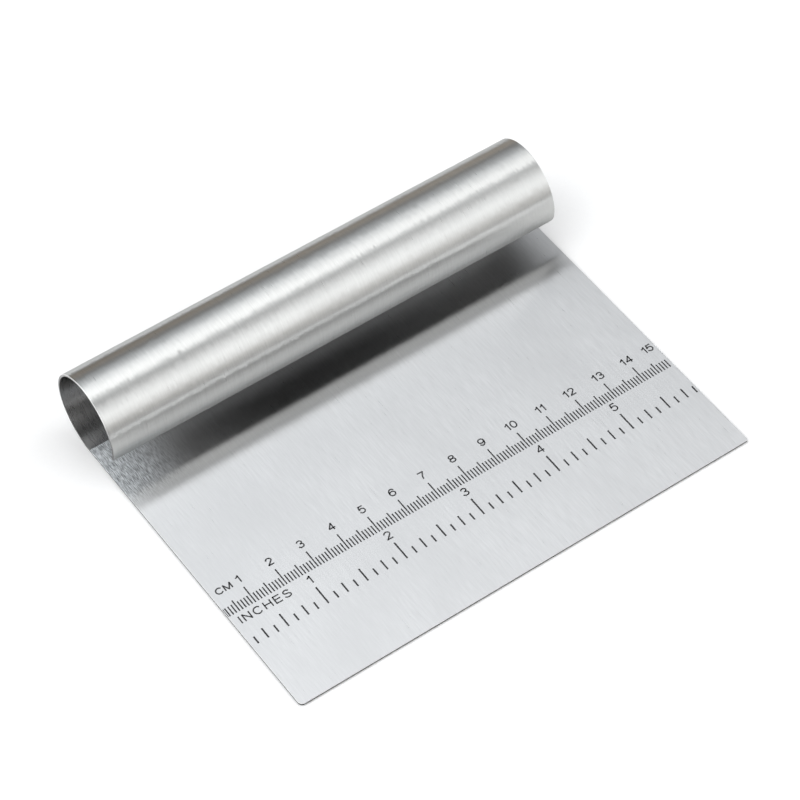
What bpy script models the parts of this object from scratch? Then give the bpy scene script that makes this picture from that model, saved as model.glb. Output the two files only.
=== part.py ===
"""Bench scraper: one sheet of stainless steel, a flat blade rolled over at the back into an open handle.

The sheet is modelled as its two working stretches, the flat blade and the rolled handle, which
meet along the line where the roll begins.  X runs along the cutting edge, Y from the cutting edge
to the handle, and the blade's underside lies on Z = 0 with the origin under the middle of the part.
"""

import bpy
from math import ceil, cos, degrees, pi, radians, sin

# Driving dimensions, in metres.
WIDTH = 0.149
DEPTH = 0.117
SHEET = 0.0007
HANDLE_RADIUS = 0.014
LIP_WRAP = radians(17.0)
LEFT_CORNER_RADIUS = 0.0015
RIGHT_CORNER_RADIUS = 0.0005
DEBURR = 0.00012
SEAM_GAP = 0.0003

# How finely the curves are cut up.
ROLL_STEP = radians(5.0)
CORNER_POINTS = 7
SHARP_EDGE = radians(30.0)
MERGE = 0.000005

# Places that follow from the driving dimensions.
FRONT_Y = -DEPTH / 2
ROLL_AXIS_Y = DEPTH / 2 - HANDLE_RADIUS
ROLL_AXIS_Z = HANDLE_RADIUS
ROLL_START = SEAM_GAP / HANDLE_RADIUS
ROLL_END = radians(270.0) + LIP_WRAP


def clear_scene():
    """Remove every object, so that the part stands alone."""
    for obj in list(bpy.data.objects):
        bpy.data.objects.remove(obj, do_unlink=True)


def steel(name, colour, roughness):
    """A stainless steel material."""
    material = bpy.data.materials.new(name)
    material.use_nodes = True
    shader = material.node_tree.nodes["Principled BSDF"]
    shader.inputs["Base Color"].default_value = (*colour, 1.0)
    shader.inputs["Metallic"].default_value = 1.0
    shader.inputs["Roughness"].default_value = roughness
    return material


def deburr(obj):
    """Break the sheet's cut edges by a small chamfer."""
    bevel = obj.modifiers.new("deburr", "BEVEL")
    bevel.width = DEBURR
    bevel.segments = 1
    bevel.limit_method = "ANGLE"
    bevel.angle_limit = SHARP_EDGE
    bevel.harden_normals = True


def front_corner(side, radius, start):
    """Points of a quarter circle at one front corner, anticlockwise; side is -1 for left, 1 for right."""
    x = side * (WIDTH / 2 - radius)
    y = FRONT_Y + radius
    steps = [start + pi / 2 * i / (CORNER_POINTS - 1) for i in range(CORNER_POINTS)]
    return [(x + radius * cos(a), y + radius * sin(a)) for a in steps]


def blade_outline():
    """The flat blade seen from above: front corners rounded, the left one more, square at the roll."""
    outline = front_corner(-1, LEFT_CORNER_RADIUS, pi)
    outline += front_corner(1, RIGHT_CORNER_RADIUS, 1.5 * pi)
    outline += [(WIDTH / 2, ROLL_AXIS_Y), (-WIDTH / 2, ROLL_AXIS_Y)]
    return outline


def make_blade(collection):
    """The flat stretch, from the cutting edge to the start of the roll."""
    curve = bpy.data.curves.new("blade", "CURVE")
    curve.dimensions = "2D"
    curve.fill_mode = "BOTH"
    curve.extrude = SHEET / 2
    outline = blade_outline()
    spline = curve.splines.new("POLY")
    spline.points.add(len(outline) - 1)
    for point, (x, y) in zip(spline.points, outline):
        point.co = (x, y, 0.0, 1.0)
    spline.use_cyclic_u = True

    blade = bpy.data.objects.new("blade", curve)
    blade.location = (0.0, 0.0, SHEET / 2)
    collection.objects.link(blade)
    curve.materials.append(steel("blade_steel", (0.76, 0.77, 0.78), 0.30))
    weld = blade.modifiers.new("join caps", "WELD")
    weld.merge_threshold = MERGE
    deburr(blade)
    return blade


def make_handle(collection):
    """The rolled stretch: a line along X swept about the roll's axis, up, over and down to the lip.

    The angle is measured from the bottom of the roll, where the sheet leaves the bench.
    """
    y = HANDLE_RADIUS * sin(ROLL_START)
    z = -HANDLE_RADIUS * cos(ROLL_START)
    mesh = bpy.data.meshes.new("rolled_handle")
    mesh.from_pydata([(-WIDTH / 2, y, z), (WIDTH / 2, y, z)], [(0, 1)], [])

    handle = bpy.data.objects.new("rolled_handle", mesh)
    handle.location = (0.0, ROLL_AXIS_Y, ROLL_AXIS_Z)
    collection.objects.link(handle)
    mesh.materials.append(steel("handle_steel", (0.78, 0.78, 0.78), 0.24))

    roll = handle.modifiers.new("roll", "SCREW")
    roll.axis = "X"
    roll.angle = ROLL_END - ROLL_START
    roll.steps = ceil(roll.angle / ROLL_STEP)
    roll.render_steps = roll.steps
    roll.use_smooth_shade = True
    roll.use_normal_calculate = True

    wall = handle.modifiers.new("sheet thickness", "SOLIDIFY")
    wall.thickness = SHEET
    wall.offset = -1.0
    wall.use_even_offset = True
    deburr(handle)
    return handle


def main():
    clear_scene()
    collection = bpy.data.collections.new("bench_scraper")
    bpy.context.scene.collection.children.link(collection)
    make_blade(collection)
    make_handle(collection)
    print("bench scraper: lip at %.0f degrees round the roll" % degrees(ROLL_END))


main()
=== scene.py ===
from math import cos, pi, radians, sin

import bmesh
import bpy
from mathutils import Matrix, Vector


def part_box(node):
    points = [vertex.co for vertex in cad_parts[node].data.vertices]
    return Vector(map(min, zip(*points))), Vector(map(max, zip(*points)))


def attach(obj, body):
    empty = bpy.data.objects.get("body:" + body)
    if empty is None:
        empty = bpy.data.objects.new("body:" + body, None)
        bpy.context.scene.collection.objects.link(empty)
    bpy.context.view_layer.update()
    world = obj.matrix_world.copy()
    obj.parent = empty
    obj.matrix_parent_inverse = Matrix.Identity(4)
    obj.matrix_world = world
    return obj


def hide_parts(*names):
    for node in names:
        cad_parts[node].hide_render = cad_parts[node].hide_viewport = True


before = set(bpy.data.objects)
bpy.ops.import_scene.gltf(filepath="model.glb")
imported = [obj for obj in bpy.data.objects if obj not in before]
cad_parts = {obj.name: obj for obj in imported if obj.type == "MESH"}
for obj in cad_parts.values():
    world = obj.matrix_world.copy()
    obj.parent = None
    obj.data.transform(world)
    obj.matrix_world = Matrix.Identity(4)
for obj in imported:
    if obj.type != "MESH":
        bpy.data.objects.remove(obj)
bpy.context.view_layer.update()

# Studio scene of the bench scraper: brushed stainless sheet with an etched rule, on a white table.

MM = 0.001

# Driving sizes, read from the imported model.
BLADE_LOW, BLADE_HIGH = (Vector(corner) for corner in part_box("blade"))
ROLL_HIGH = Vector(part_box("rolled_handle")[1])
WIDTH = BLADE_HIGH.x - BLADE_LOW.x
SHEET = BLADE_HIGH.z - BLADE_LOW.z
FRONT_Y = BLADE_LOW.y
ROLL_Y = BLADE_HIGH.y
RADIUS = (ROLL_HIGH.z - BLADE_LOW.z) / 2
FLAT_RUN = ROLL_Y - FRONT_Y

# Details of the sheet that the box of a node doesn't give.
LIP_WRAP = radians(17.0)
SHEET_RUN = FLAT_RUN + RADIUS * (1.5 * pi + LIP_WRAP)
FRONT_CORNERS = (1.5 * MM, 0.5 * MM)
LIP_CORNERS = (0.3 * MM, 0.9 * MM)
EDGE_ROUND = 0.10 * MM
EDGE_STEPS = 3
EDGE_MATERIALS = [2] * EDGE_STEPS + [3] + [4] * EDGE_STEPS
COLUMNS = 60
FLAT_STEP = 2.5 * MM
ROLL_STEP = radians(2.5)
CORNER_STEPS = 8
SHARP_EDGE = radians(9.0)

# The brushed grain: the size of each kind of mark, across and along the sheet.
HAIR = (0.24 * MM, 4 * MM)
STREAK = (0.60 * MM, 8 * MM)
WAVE = (1.9 * MM, 17 * MM)
CLOUD = (22 * MM, 34 * MM)
COARSE = (0.26 * MM, 2.4 * MM)
RIPPLE = (0.15 * MM, 2.5 * MM)

# The coarse grain, with painted light, comes in along the sheet under the lip and fades out away from the
# left side.
GRAIN_AND_LIGHT_RUN = (FLAT_RUN - 26 * MM, FLAT_RUN - 16 * MM)
GRAIN_AND_LIGHT_SIDE = (BLADE_LOW.x + 4 * MM, BLADE_LOW.x + 26 * MM)

# The etched rule: its zero mark, its slant on the sheet, and its rows, in millimetres from the zero.
RULE_ZERO = Vector((BLADE_LOW.x - 1.2 * MM, FRONT_Y + 34.1 * MM))
RULE_SLANT = radians(-0.49)
MARK_DEPTH = 0.02 * MM
CENTIMETRE_STROKE = 0.41
INCH_STROKE = 0.50
LETTER_STROKE = 0.41
INCH = 25.4
INCH_ZERO = 0.2
INCH_LINE = -11.49
CUT_MARK = 1.44
CENTIMETRE_FIGURE = 2.66
CENTIMETRE_ROW = 8.92
INCH_FIGURE = 2.85
INCH_ROW = -2.32

# The tops of the marks, as (every, height): each mark takes the first entry that divides its number.
CENTIMETRE_TOPS = ((10, 5.94), (5, 4.05), (1, 3.0))
INCH_TOPS = ((8, -5.23), (4, -6.85), (2, -7.93), (1, -8.97))

# The camera looks at the middle of the blade from the front left.
VIEW_AZIMUTH = radians(34.69)
VIEW_ELEVATION = radians(51.46)
VIEW_ROLL = radians(-0.87)
VIEW_TARGET = Vector((5.2 * MM, 9.4 * MM, 0.0))
VIEW_DISTANCE = 906 * MM
LENS = 146.5

FLOOR_SIZE = 600 * MM
FLOOR_DROP = 0.22 * MM

LIGHT_STRENGTH = 3.0
BACKDROP = 0.96
END_PANEL = 2.0

# The tent's light along an arch, as (degrees from the back horizon, brightness, warmth).
LEFT_LIGHT = (
    # a dim back wall
    (6, 0.0, 0.0), (12, 0.12, 0.3), (18, 0.18, 0.0), (26, 0.20, -0.06),
    # the overhead panel
    (36, 0.74, -0.04), (48, 1.25, -0.03), (60, 2.27, -0.02),
    (74, 2.53, -0.01), (86, 1.96, -0.01), (94, 0.64, -0.02),
    # a gap, then the front panel
    (102, 0.0, 0.0), (112, 0.25, 0.02), (124, 0.88, 0.01), (140, 1.47, 0.01),
    (154, 1.12, 0.02), (168, 0.10, 0.15), (180, 0.0, 0.0))
RIGHT_LIGHT = (
    # a low panel at the back, then a gap
    (0, 0.80, 0.20), (6, 0.85, 0.14), (12, 0.66, 0.05), (18, 0.25, 0.0), (26, 0.03, 0.0), (48, 0.0, 0.0),
    # open from overhead to the front
    (60, 0.05, 0.0), (74, 0.98, 0.0), (86, 1.95, 0.0), (94, 1.60, -0.01), (102, 1.30, -0.01),
    (112, 1.58, -0.01), (124, 1.72, -0.02), (140, 1.68, -0.02), (154, 1.56, -0.02),
    (168, 1.48, 0.0), (180, 1.50, 0.02))


# ---------------------------------------------------------------- node helpers

class Nodes:
    """A node tree with short calls to add and link nodes."""

    def __init__(self, tree):
        self.tree = tree
        tree.nodes.clear()

    def add(self, kind, **settings):
        node = self.tree.nodes.new(kind)
        for name, value in settings.items():
            setattr(node, name, value)
        return node

    def link(self, source, target):
        self.tree.links.new(source, target)

    def feed(self, socket, value):
        """Link an output socket, or set a plain value."""
        if isinstance(value, bpy.types.NodeSocket):
            self.link(value, socket)
        else:
            socket.default_value = value

    def math(self, operation, *values, clamp=False):
        node = self.add("ShaderNodeMath", operation=operation, use_clamp=clamp)
        for socket, value in zip(node.inputs, values):
            self.feed(socket, value)
        return node.outputs[0]

    def remap(self, value, low, high, to_low=0.0, to_high=1.0, smooth=False):
        node = self.add("ShaderNodeMapRange")
        node.interpolation_type = "SMOOTHSTEP" if smooth else "LINEAR"
        for name, number in (("Value", value), ("From Min", low), ("From Max", high),
                             ("To Min", to_low), ("To Max", to_high)):
            self.feed(node.inputs[name], number)
        return node.outputs["Result"]

    def ramp(self, value, stops):
        """A colour ramp from (position, colour) stops."""
        node = self.add("ShaderNodeValToRGB")
        ramp = node.color_ramp
        while len(ramp.elements) < len(stops):
            ramp.elements.new(1.0)
        for element, (position, colour) in zip(ramp.elements, stops):
            element.position = position
            element.color = (*colour, 1.0)
        self.feed(node.inputs["Fac"], value)
        return node.outputs["Color"]

    def mix(self, factor, first, second, blend="MIX"):
        node = self.add("ShaderNodeMix", data_type="RGBA", blend_type=blend)
        self.feed(node.inputs["Factor"], factor)
        self.feed(node.inputs[6], first)
        self.feed(node.inputs[7], second)
        return node.outputs[2]

    def noise(self, vector, scale, detail=2.0, roughness=0.5):
        node = self.add("ShaderNodeTexNoise")
        self.link(vector, node.inputs["Vector"])
        node.inputs["Scale"].default_value = scale
        node.inputs["Detail"].default_value = detail
        node.inputs["Roughness"].default_value = roughness
        return node.outputs["Fac"]

    def stretched(self, vector, across, along):
        """The sheet's own coordinates, scaled so that one noise cell is across by along metres."""
        node = self.add("ShaderNodeMapping")
        self.link(vector, node.inputs["Vector"])
        node.inputs["Scale"].default_value = (1 / across, 1 / along, 1.0)
        return node.outputs["Vector"]


def new_material(name):
    material = bpy.data.materials.new(name)
    material.use_nodes = True
    return material, Nodes(material.node_tree)


def finish_material(nodes, shader):
    output = nodes.add("ShaderNodeOutputMaterial")
    nodes.link(shader.outputs["BSDF"], output.inputs["Surface"])


# ---------------------------------------------------------------- materials

def brushed_steel(name, colour, roughness, grain_height, ripple, mouth_grain_and_light=0.0):
    """Stainless sheet brushed along its length, from the cutting edge round to the lip.

    The grain is drawn in the sheet's flattened coordinates, so it runs on round the roll.  Ripple tilts
    the surface a little along the grain.  Mouth grain and light is how strongly a coarse grain shows
    under the lip at the left end, coloured partly as grain and partly as painted light, brighter where
    light comes in at the open end of the roll.
    """
    material, nodes = new_material(name)
    sheet = nodes.add("ShaderNodeUVMap", uv_map="sheet").outputs["UV"]
    hair = nodes.noise(nodes.stretched(sheet, *HAIR), 1.0, 2.0, 0.6)
    streak = nodes.noise(nodes.stretched(sheet, *STREAK), 1.0, 2.0, 0.5)
    wave = nodes.noise(nodes.stretched(sheet, *WAVE), 1.0, 1.0, 0.5)
    cloud = nodes.noise(nodes.stretched(sheet, *CLOUD), 1.0, 2.0, 0.5)

    shader = nodes.add("ShaderNodeBsdfPrincipled")
    shader.inputs["Metallic"].default_value = 1.0
    shader.inputs["Anisotropic"].default_value = 1.0
    shader.inputs["Specular Tint"].default_value = (0.60, 0.60, 0.60, 1.0)
    grain = nodes.math("ADD", nodes.math("MULTIPLY", hair, 0.45), nodes.math("MULTIPLY", streak, 0.55))
    dark = tuple(0.92 * part for part in colour)
    light = tuple(min(1.0, 1.08 * part) for part in colour)
    tone = nodes.mix(nodes.remap(grain, 0.3, 0.7), (*dark, 1.0), (*light, 1.0))
    smudge = tuple(0.93 * part for part in colour)
    tone = nodes.mix(nodes.remap(cloud, 0.4, 0.7, 0.0, 0.6), tone, (*smudge, 1.0))
    place = nodes.add("ShaderNodeSeparateXYZ")
    nodes.link(sheet, place.inputs[0])
    under_lip = nodes.remap(place.outputs["Y"], *GRAIN_AND_LIGHT_RUN, smooth=True)
    at_end = nodes.remap(place.outputs["X"], *GRAIN_AND_LIGHT_SIDE, mouth_grain_and_light, 0.0, smooth=True)
    mouth = nodes.math("MULTIPLY", under_lip, at_end)
    coarse = nodes.noise(nodes.stretched(sheet, *COARSE), 1.0, 2.0, 0.6)
    # Partly real coarse grain, partly painted light: dark streaks on a near-white tone, brighter than the
    # sheet, for light coming in at the open end of the roll.
    coarse_grain_and_painted_light = nodes.mix(nodes.remap(coarse, 0.35, 0.62), (0.22, 0.235, 0.25, 1.0), (0.92, 0.955, 0.98, 1.0))
    nodes.link(nodes.mix(mouth, tone, coarse_grain_and_painted_light), shader.inputs["Base Color"])
    rough = nodes.remap(grain, 0.3, 0.7, roughness - 0.03, roughness + 0.03)
    nodes.link(nodes.math("ADD", rough, nodes.math("MULTIPLY", mouth, 0.2)), shader.inputs["Roughness"])

    tip = nodes.noise(nodes.stretched(sheet, *RIPPLE), 1.0, 1.0, 0.5)
    tilt = nodes.add("ShaderNodeCombineColor")
    tilt.inputs["Red"].default_value = 0.5
    tilt.inputs["Blue"].default_value = 1.0
    nodes.link(nodes.remap(tip, 0.0, 1.0, 0.5 - ripple, 0.5 + ripple), tilt.inputs["Green"])
    rippled = nodes.add("ShaderNodeNormalMap", space="TANGENT", uv_map="sheet")
    nodes.link(tilt.outputs["Color"], rippled.inputs["Color"])

    height = nodes.math("ADD", grain, nodes.math("MULTIPLY", wave, 0.7))
    bump = nodes.add("ShaderNodeBump")
    bump.inputs["Strength"].default_value = 1.0
    bump.inputs["Distance"].default_value = grain_height
    nodes.link(height, bump.inputs["Height"])
    nodes.link(rippled.outputs["Normal"], bump.inputs["Normal"])
    nodes.link(bump.outputs["Normal"], shader.inputs["Normal"])
    tangent = nodes.add("ShaderNodeTangent", direction_type="UV_MAP", uv_map="sheet")
    nodes.link(tangent.outputs["Tangent"], shader.inputs["Tangent"])
    finish_material(nodes, shader)
    return material


def edge_steel(name, low, high, roughness):
    """The sheared edge of the sheet, with fine marks on it, and painted light: painted shade near the table
    and a painted highlight on top.
    """
    material, nodes = new_material(name)
    place = nodes.add("ShaderNodeTexCoord").outputs["Object"]
    marks = nodes.noise(place, 2200.0, 3.0, 0.6)
    height = nodes.add("ShaderNodeSeparateXYZ")
    nodes.link(place, height.inputs[0])
    # Painted light by height: painted shade low down near the table, a painted highlight higher up.
    wear_and_painted_light = nodes.remap(height.outputs["Z"], RADIUS, 1.8 * RADIUS, smooth=True)
    shader = nodes.add("ShaderNodeBsdfPrincipled")
    shader.inputs["Metallic"].default_value = 1.0
    tone = nodes.mix(wear_and_painted_light, (low, low, low, 1.0), (high, high, high, 1.0))
    nicks = nodes.remap(marks, 0.3, 0.7, 0.0, 0.25)
    nodes.link(nodes.mix(nicks, tone, (0.35, 0.35, 0.35, 1.0)), shader.inputs["Base Color"])
    rough = nodes.remap(marks, 0.3, 0.7, roughness - 0.06, roughness + 0.06)
    nodes.link(rough, shader.inputs["Roughness"])
    finish_material(nodes, shader)
    return material


def etched_black():
    """The rule's marks: an etched oxide, almost black, a little worn."""
    material, nodes = new_material("etched_black")
    place = nodes.add("ShaderNodeTexCoord").outputs["Object"]
    wear = nodes.noise(place, 1800.0, 4.0, 0.65)
    shader = nodes.add("ShaderNodeBsdfPrincipled")
    fresh = (0.012, 0.012, 0.013, 1.0)
    wear_and_painted_light = (0.055, 0.055, 0.057, 1.0)
    nodes.link(nodes.mix(nodes.remap(wear, 0.35, 0.75), fresh, wear_and_painted_light), shader.inputs["Base Color"])
    nodes.link(nodes.remap(wear, 0.3, 0.7, 0.45, 0.65), shader.inputs["Roughness"])
    shader.inputs["Specular IOR Level"].default_value = 0.35
    finish_material(nodes, shader)
    return material


def table_white():
    """Matt white studio board with a trace of tooth."""
    material, nodes = new_material("table_white")
    place = nodes.add("ShaderNodeTexCoord").outputs["Object"]
    tooth = nodes.noise(place, 900.0, 3.0, 0.6)
    shader = nodes.add("ShaderNodeBsdfPrincipled")
    tone = nodes.mix(tooth, (0.92, 0.92, 0.92, 1.0), (0.95, 0.95, 0.95, 1.0))
    nodes.link(tone, shader.inputs["Base Color"])
    shader.inputs["Roughness"].default_value = 0.9
    shader.inputs["Specular IOR Level"].default_value = 0.1
    finish_material(nodes, shader)
    return material


# ---------------------------------------------------------------- the sheet

def on_sheet(x, run, depth):
    """A point of the bent sheet: run is measured from the cutting edge, depth from the underside."""
    if run <= FLAT_RUN:
        return Vector((x, FRONT_Y + run, depth))
    turn = (run - FLAT_RUN) / RADIUS
    radius = RADIUS - depth
    return Vector((x, ROLL_Y + radius * sin(turn), RADIUS - radius * cos(turn)))


def corner_row(corners, angle, from_lip):
    """A row of the sheet where its left and right corners are rounded, as a function of the inset."""
    def row(inset):
        ends = []
        for corner in corners:
            run = corner - (corner - inset) * cos(angle)
            half = WIDTH / 2 - corner + (corner - inset) * sin(angle)
            ends.append((half, SHEET_RUN - run if from_lip else run))
        return ends
    return row


def straight_row(run):
    def row(inset):
        return [(WIDTH / 2 - inset, run)] * 2
    return row


def spread(start, end, step):
    """Even steps from start up or down to end, both included."""
    count = max(1, round(abs(end - start) / step))
    return [start + (end - start) * i / count for i in range(count + 1)]


def blade_rows():
    angles = spread(0.0, pi / 2, pi / 2 / CORNER_STEPS)
    rows = [corner_row(FRONT_CORNERS, a, False) for a in angles]
    rows += [straight_row(run) for run in spread(max(FRONT_CORNERS), FLAT_RUN, FLAT_STEP)[1:]]
    return rows


def roll_rows():
    angles = spread(0.0, pi / 2, pi / 2 / CORNER_STEPS)
    lip = SHEET_RUN - max(LIP_CORNERS)
    rows = [straight_row(run) for run in spread(FLAT_RUN, lip, ROLL_STEP * RADIUS)[:-1]]
    rows += [corner_row(LIP_CORNERS, a, True) for a in reversed(angles)]
    return rows


def edge_profile():
    """The rounded edge from the top face to the underside, as (inset, depth) pairs."""
    turns = [pi / 2 * i / EDGE_STEPS for i in range(EDGE_STEPS + 1)]
    upper = [(EDGE_ROUND * (1 - sin(a)), SHEET - EDGE_ROUND * (1 - cos(a))) for a in turns]
    return upper + [(inset, SHEET - depth) for inset, depth in reversed(upper)]


def sheet_piece(name, rows, materials):
    """One closed stretch of the sheet from its rows.

    The materials are those of the top skin, the underside, the rounded top edge, the cut face and the
    rounded lower edge.
    """
    last = len(rows) - 1
    rim = [(0, c) for c in range(COLUMNS)] + [(r, COLUMNS) for r in range(last)]
    rim += [(last, c) for c in range(COLUMNS, 0, -1)] + [(r, 0) for r in range(last, 0, -1)]
    build = bmesh.new()
    uv_layer = build.loops.layers.uv.new("sheet")
    flat_place = {}

    def vertex(row, column, inset, depth):
        (left_half, left_run), (right_half, right_run) = rows[row](inset)
        across = column / COLUMNS
        x = -left_half * (1 - across) + right_half * across
        run = left_run * (1 - across) + right_run * across
        corner = build.verts.new(on_sheet(x, run, depth))
        flat_place[corner] = (x, run)
        return corner

    def face(corners, material_index):
        made = build.faces.new(corners)
        made.material_index = material_index
        made.smooth = True
        for loop in made.loops:
            loop[uv_layer].uv = flat_place[loop.vert]

    profile = edge_profile()
    skins = []
    for inset, depth in (profile[0], profile[-1]):
        skins.append([[vertex(r, c, inset, depth) for c in range(COLUMNS + 1)] for r in range(last + 1)])
    top, under = skins
    for r in range(last):
        for c in range(COLUMNS):
            face((top[r][c], top[r][c + 1], top[r + 1][c + 1], top[r + 1][c]), 0)
            face((under[r][c], under[r + 1][c], under[r + 1][c + 1], under[r][c + 1]), 1)

    rings = [[top[r][c] for r, c in rim]]
    rings += [[vertex(r, c, inset, depth) for r, c in rim] for inset, depth in profile[1:-1]]
    rings += [[under[r][c] for r, c in rim]]
    for step, (upper, lower) in enumerate(zip(rings, rings[1:])):
        for i in range(len(rim)):
            j = (i + 1) % len(rim)
            face((upper[i], lower[i], lower[j], upper[j]), EDGE_MATERIALS[step])

    mesh = bpy.data.meshes.new(name)
    build.normal_update()
    build.to_mesh(mesh)
    build.free()
    mesh.set_sharp_from_angle(angle=SHARP_EDGE)
    for material in materials:
        mesh.materials.append(material)
    piece = bpy.data.objects.new(name, mesh)
    bpy.context.scene.collection.objects.link(piece)
    return piece


# ---------------------------------------------------------------- the etched rule

def rule_matrix():
    """From the rule's own millimetres to the top face of the blade."""
    place = Matrix.Translation((RULE_ZERO.x, RULE_ZERO.y, BLADE_HIGH.z - MARK_DEPTH / 2))
    return place @ Matrix.Rotation(RULE_SLANT, 4, "Z") @ Matrix.Diagonal((MM, MM, 1.0, 1.0))


def marks_piece(name, bars, material):
    """Etched bars, each given as (x, low, high, stroke) in the rule's millimetres."""
    build = bmesh.new()
    place = rule_matrix()
    for x, low, high, stroke in bars:
        made = bmesh.ops.create_cube(build, size=1.0)["verts"]
        size = Matrix.Diagonal((stroke, high - low, MARK_DEPTH, 1.0))
        shift = Matrix.Translation((x, (low + high) / 2, MARK_DEPTH / 2))
        bmesh.ops.transform(build, matrix=place @ shift @ size, verts=made)
    mesh = bpy.data.meshes.new(name)
    build.to_mesh(mesh)
    build.free()
    mesh.materials.append(material)
    piece = bpy.data.objects.new(name, mesh)
    bpy.context.scene.collection.objects.link(piece)
    return piece


def mark_top(count, tops):
    return next(height for every, height in tops if count % every == 0)


def centimetre_bars():
    """A mark each millimetre, longer at each half and whole centimetre.

    The sheet's edge cuts the first one down to half its stroke.
    """
    bars = [(CUT_MARK, 0.0, mark_top(1, CENTIMETRE_TOPS), CENTIMETRE_STROKE / 2)]
    for tick in range(2, 150):
        bars.append((float(tick), 0.0, mark_top(tick, CENTIMETRE_TOPS), CENTIMETRE_STROKE))
    return bars


def inch_bars():
    """A mark each eighth of an inch, all standing on one line, longer at quarters, halves and wholes."""
    bars = []
    for eighth in range(1, 48):
        bars.append((INCH_ZERO + eighth * INCH / 8, INCH_LINE, mark_top(eighth, INCH_TOPS), INCH_STROKE))
    return bars


def arc(x, y, across, up, start, end):
    """Points of an oval arc, in degrees from the right-hand side, anticlockwise if end is larger."""
    turns = [radians(angle) for angle in spread(start, end, 15.0)]
    return [(x + across * cos(turn), y + up * sin(turn)) for turn in turns]


# Plain sans-serif figures and capitals: (width, strokes), each stroke a path in a box 1 wide and 1 high.
GLYPHS = {
    "0": (0.62, [arc(0.5, 0.5, 0.5, 0.5, 0, 360)]),
    "1": (0.30, [[(1, 0), (1, 1)], [(0, 0.74), (0.55, 0.83), (1, 1)]]),
    "2": (0.62, [arc(0.5, 0.72, 0.47, 0.28, 170, -35) + [(0.03, 0)], [(0, 0), (1, 0)]]),
    "3": (0.62, [arc(0.48, 0.76, 0.42, 0.24, 160, -90), arc(0.48, 0.26, 0.5, 0.26, 90, -160)]),
    "4": (0.66, [[(0.74, 0), (0.74, 1)], [(0.74, 1), (0, 0.27)], [(0, 0.27), (1, 0.27)]]),
    "5": (0.62, [[(0.9, 1), (0.2, 1)], [(0.2, 1), (0.07, 0.5)], arc(0.48, 0.33, 0.5, 0.33, 145, -155)]),
    "6": (0.62, [arc(0.5, 0.32, 0.5, 0.32, 0, 360), arc(0.55, 0.42, 0.55, 0.58, 185, 40)]),
    "7": (0.60, [[(0, 1), (1, 1)], [(1, 1), (0.66, 0.6), (0.45, 0.28), (0.36, 0)]]),
    "8": (0.62, [arc(0.5, 0.76, 0.42, 0.24, 0, 360), arc(0.5, 0.26, 0.5, 0.26, 0, 360)]),
    "9": (0.62, [arc(0.5, 0.68, 0.5, 0.32, 0, 360), arc(0.45, 0.58, 0.55, 0.58, 5, -140)]),
    "C": (0.84, [arc(0.52, 0.5, 0.52, 0.5, 42, 318)]),
    "M": (0.90, [[(0, 0), (0, 1)], [(0, 1), (0.5, 0)], [(0.5, 0), (1, 1)], [(1, 1), (1, 0)]]),
    "I": (0.0, [[(0, 0), (0, 1)]]),
    "N": (0.74, [[(0, 0), (0, 1)], [(0, 1), (1, 0)], [(1, 0), (1, 1)]]),
    "H": (0.74, [[(0, 0), (0, 1)], [(1, 0), (1, 1)], [(0, 0.53), (1, 0.53)]]),
    "E": (0.66, [[(0, 0), (0, 1)], [(0, 1), (1, 1)], [(0, 0.53), (0.94, 0.53)], [(0, 0), (1, 0)]]),
    "S": (0.70, [arc(0.5, 0.755, 0.44, 0.245, 20, 270), arc(0.5, 0.255, 0.5, 0.255, 90, -160)]),
}


def ribbon(build, path, stroke):
    """A flat strip of one stroke's width along a path in the rule's millimetres."""
    points = [Vector(point) for point in path]
    sides = []
    for i, point in enumerate(points):
        before = point - points[i - 1] if i > 0 else points[1] - point
        after = points[i + 1] - point if i + 1 < len(points) else before
        along = (before.normalized() + after.normalized()).normalized()
        if i == 0:
            point = point - along * stroke / 4
        if i + 1 == len(points):
            point = point + along * stroke / 4
        out = Vector((-along.y, along.x)) * stroke / 2
        sides.append((point + out, point - out))
    rows = []
    for left, right in sides:
        corners = [(*side, z) for z in (0.0, MARK_DEPTH) for side in (left, right)]
        rows.append([build.verts.new(corner) for corner in corners])
    for near, far in zip(rows, rows[1:]):
        build.faces.new((near[2], near[3], far[3], far[2]))
        build.faces.new((near[0], far[0], far[1], near[1]))
        build.faces.new((near[0], near[2], far[2], far[0]))
        build.faces.new((near[1], far[1], far[3], near[3]))
    build.faces.new((rows[0][0], rows[0][1], rows[0][3], rows[0][2]))
    build.faces.new((rows[-1][0], rows[-1][2], rows[-1][3], rows[-1][1]))


def letters_piece(name, words, material):
    """Etched figures or letters, each given as (text, centre x, centre y, height, gap) in millimetres."""
    build = bmesh.new()
    for text, x, y, height, gap in words:
        tall = height - LETTER_STROKE
        widths = [GLYPHS[letter][0] * height for letter in text]
        start = x - (sum(widths) + gap * (len(text) - 1)) / 2
        for letter, width in zip(text, widths):
            for path in GLYPHS[letter][1]:
                placed = [(start + px * width, y - tall / 2 + py * tall) for px, py in path]
                ribbon(build, placed, LETTER_STROKE)
            start += width + gap
    bmesh.ops.transform(build, matrix=rule_matrix(), verts=build.verts)
    mesh = bpy.data.meshes.new(name)
    build.to_mesh(mesh)
    build.free()
    mesh.materials.append(material)
    piece = bpy.data.objects.new(name, mesh)
    bpy.context.scene.collection.objects.link(piece)
    return piece


# ---------------------------------------------------------------- build the object

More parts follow.
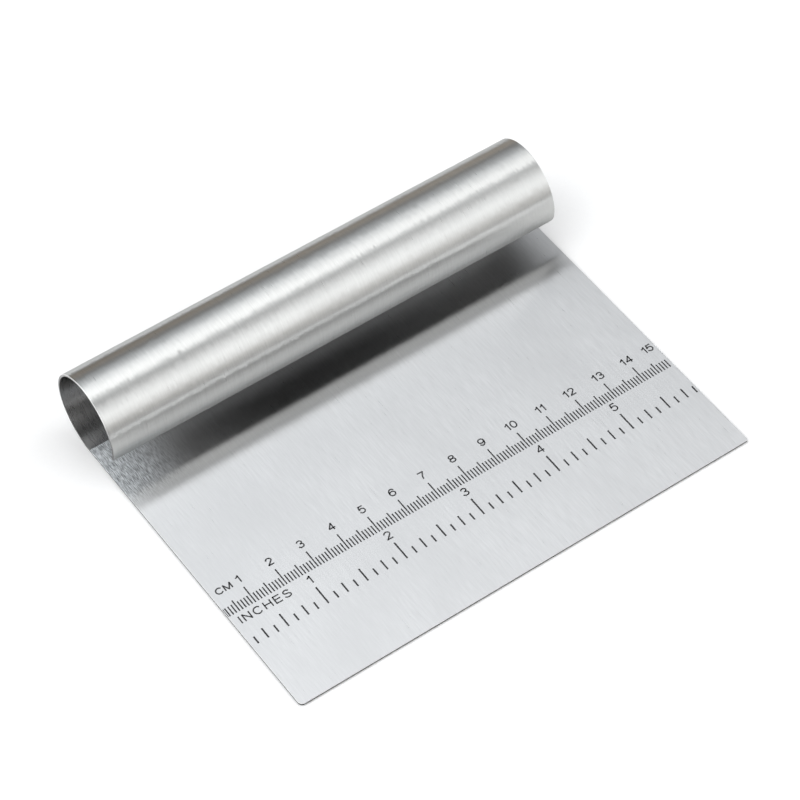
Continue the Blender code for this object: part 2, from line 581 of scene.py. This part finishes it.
def build_object():
    black = etched_black()
    # The blade's top gets the coarse grain with painted light under the lip at the left end.
    blade_finish = brushed_steel("blade_steel", (0.608, 0.612, 0.617), 0.30, 0.012 * MM, 0.01, 0.85)
    roll_finish = brushed_steel("handle_steel", (0.605, 0.61, 0.60), 0.30, 0.010 * MM, 0.07)
    # The inside of the roll is the same sheet as the top of the blade, painted much darker: painted shade
    # in the hollow of the roll.
    painted_shade_inner_finish = brushed_steel("painted_shade_inner_steel", (0.26, 0.26, 0.26), 0.28, 0.010 * MM, 0.05)
    # Both edge finishes are painted darker near the table and lighter higher up, as painted shade and
    # painted light; the rounded edge outside the roll rises to a bright painted highlight.
    painted_highlight_edge = edge_steel("rounded_edge_steel", 0.12, 0.85, 0.28)
    cut_edge = edge_steel("cut_edge_steel", 0.06, 0.40, 0.34)
    # The roll turns the sheet over: its underside is the outer skin of the handle.
    blade_materials = (blade_finish, roll_finish, blade_finish, cut_edge, cut_edge)
    roll_materials = (painted_shade_inner_finish, roll_finish, cut_edge, cut_edge, painted_highlight_edge)
    blade = sheet_piece("blade_sheet", blade_rows(), blade_materials)
    roll = sheet_piece("handle_sheet", roll_rows(), roll_materials)
    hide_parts("blade")
    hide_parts("rolled_handle")

    centimetres = [(str(n), 10.0 * n + 0.12, CENTIMETRE_ROW, CENTIMETRE_FIGURE, 0.85) for n in range(1, 15)]
    # The last figure is moved in from the edge of the sheet.
    centimetres.append(("15", 147.55, CENTIMETRE_ROW, CENTIMETRE_FIGURE, 0.7))
    inches = [(str(n), INCH_ZERO + INCH * n, INCH_ROW, INCH_FIGURE, 0.8) for n in range(1, 6)]
    units = [("CM", 5.3, 8.55, 2.3, 0.66), ("INCHES", 11.3, -2.5, 2.7, 1.16)]
    rule = [
        marks_piece("rule_centimetre_marks", centimetre_bars(), black),
        marks_piece("rule_inch_marks", inch_bars(), black),
        letters_piece("rule_centimetre_figures", centimetres, black),
        letters_piece("rule_inch_figures", inches, black),
        letters_piece("rule_unit_names", units, black),
    ]
    for piece in [blade, roll] + rule:
        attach(piece, "root")


# ---------------------------------------------------------------- studio

def make_floor():
    bpy.ops.mesh.primitive_plane_add(size=FLOOR_SIZE, location=(0.0, 0.0, -FLOOR_DROP))
    floor = bpy.context.object
    floor.name = "studio_floor"
    floor.data.materials.append(table_white())


def grey(level, warmth=0.0):
    return (level * (1 + warmth), level, level * (1 - warmth))


def panels(nodes, arch, stops):
    """Light along the arch from the back horizon to the front one, as (degrees, brightness, warmth)."""
    return nodes.ramp(arch, [(d / 180, grey(v / LIGHT_STRENGTH, w)) for d, v, w in stops])


def make_light():
    """A white studio tent, seen by its light only, with one arch of panels on each side.

    A third panel stands at the left end. The camera itself sees an even, nearly white backdrop.
    """
    world = bpy.data.worlds.new("studio")
    bpy.context.scene.world = world
    world.use_nodes = True
    nodes = Nodes(world.node_tree)
    ray = nodes.add("ShaderNodeSeparateXYZ")
    nodes.link(nodes.add("ShaderNodeTexCoord").outputs["Generated"], ray.inputs[0])
    x, y, z = ray.outputs
    # 0 at the back horizon, 0.5 overhead, 1 at the front horizon.
    arch = nodes.math("DIVIDE", nodes.math("ARCTAN2", nodes.math("MAXIMUM", z, 0.0), y), pi)
    left_side = panels(nodes, arch, LEFT_LIGHT)
    right_side = panels(nodes, arch, RIGHT_LIGHT)
    tent = nodes.mix(nodes.remap(x, 0.1, 0.6, smooth=True), left_side, right_side)
    left_end = nodes.remap(x, -0.45, -0.7, smooth=True)
    lit = nodes.mix(left_end, tent, (*grey(END_PANEL / LIGHT_STRENGTH), 1.0))
    seen = nodes.add("ShaderNodeLightPath").outputs["Is Camera Ray"]
    shown = nodes.mix(seen, lit, (*grey(BACKDROP / LIGHT_STRENGTH), 1.0))
    background = nodes.add("ShaderNodeBackground")
    background.inputs["Strength"].default_value = LIGHT_STRENGTH
    nodes.link(shown, background.inputs["Color"])
    output = nodes.add("ShaderNodeOutputWorld")
    nodes.link(background.outputs["Background"], output.inputs["Surface"])


def make_camera():
    camera = bpy.data.objects.new("camera", bpy.data.cameras.new("camera"))
    bpy.context.scene.collection.objects.link(camera)
    camera.data.lens = LENS
    camera.data.sensor_width = 36.0
    forward = Vector((cos(VIEW_ELEVATION) * sin(VIEW_AZIMUTH),
                      cos(VIEW_ELEVATION) * cos(VIEW_AZIMUTH),
                      -sin(VIEW_ELEVATION)))
    turn = forward.to_track_quat("-Z", "Y").to_matrix().to_4x4()
    place = Matrix.Translation(VIEW_TARGET - forward * VIEW_DISTANCE)
    camera.matrix_world = place @ turn @ Matrix.Rotation(VIEW_ROLL, 4, "Z")
    bpy.context.scene.camera = camera


build_object()
make_floor()
make_light()
make_camera()
bpy.context.scene.view_settings.view_transform = "Standard"
